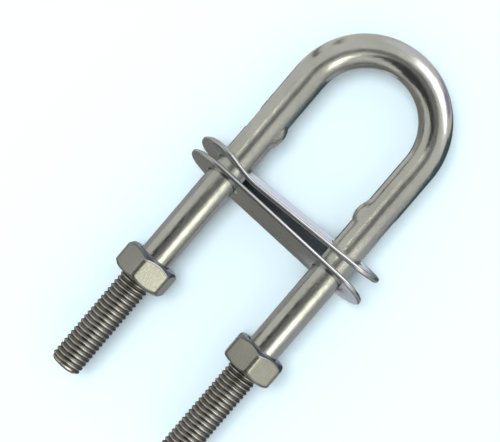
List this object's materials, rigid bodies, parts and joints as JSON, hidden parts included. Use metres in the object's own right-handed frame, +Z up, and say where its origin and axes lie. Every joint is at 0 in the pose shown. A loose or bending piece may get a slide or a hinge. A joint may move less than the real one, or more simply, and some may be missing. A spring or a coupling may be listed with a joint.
{
  "type": "pad eye",
  "caption": "U-bolt pad eye for a boat deck: a bent rod eye with two threaded legs, a deck plate and a backing plate with round ends, and hex nuts.",
  "frame": {"origin": "midway between the two legs' centrelines, on the deck's surface, where the deck plate's underside would bear", "axes": "+X from the left leg to the right leg, +Y from front to back, +Z up along the legs towards the eye"},
  "size_m": [0.0654, 0.02, 0.1356],
  "materials": {
    "rod_steel": "polished stainless steel rod with rolled threads",
    "plate_steel": "satin polished stainless sheet, tumbled edges",
    "nut_steel": "bright cold formed stainless nut"
  },
  "bodies": {
    "u_bolt": {"u_bolt": "rod_steel"},
    "upper_plate": {"upper_plate": "plate_steel"},
    "lower_plate": {"lower_plate": "plate_steel"},
    "left_nut": {"left_nut": "nut_steel"},
    "right_nut": {"right_nut": "nut_steel"}
  },
  "joints": [
    {"name": "upper_plate_slide", "type": "slide", "parent": "u_bolt", "child": "upper_plate", "axis": [0, 0, 1], "range_m": [0, 0.0077]},
    {"name": "lower_plate_slide", "type": "slide", "parent": "u_bolt", "child": "lower_plate", "axis": [0, 0, 1], "range_m": [-0.0255, 0]},
    {"name": "left_nut_slide", "type": "slide", "parent": "u_bolt", "child": "left_nut", "axis": [0, 0, 1], "range_m": [-0.042, 0]},
    {"name": "right_nut_slide", "type": "slide", "parent": "u_bolt", "child": "right_nut", "axis": [0, 0, 1], "range_m": [-0.042, 0]}
  ]
}
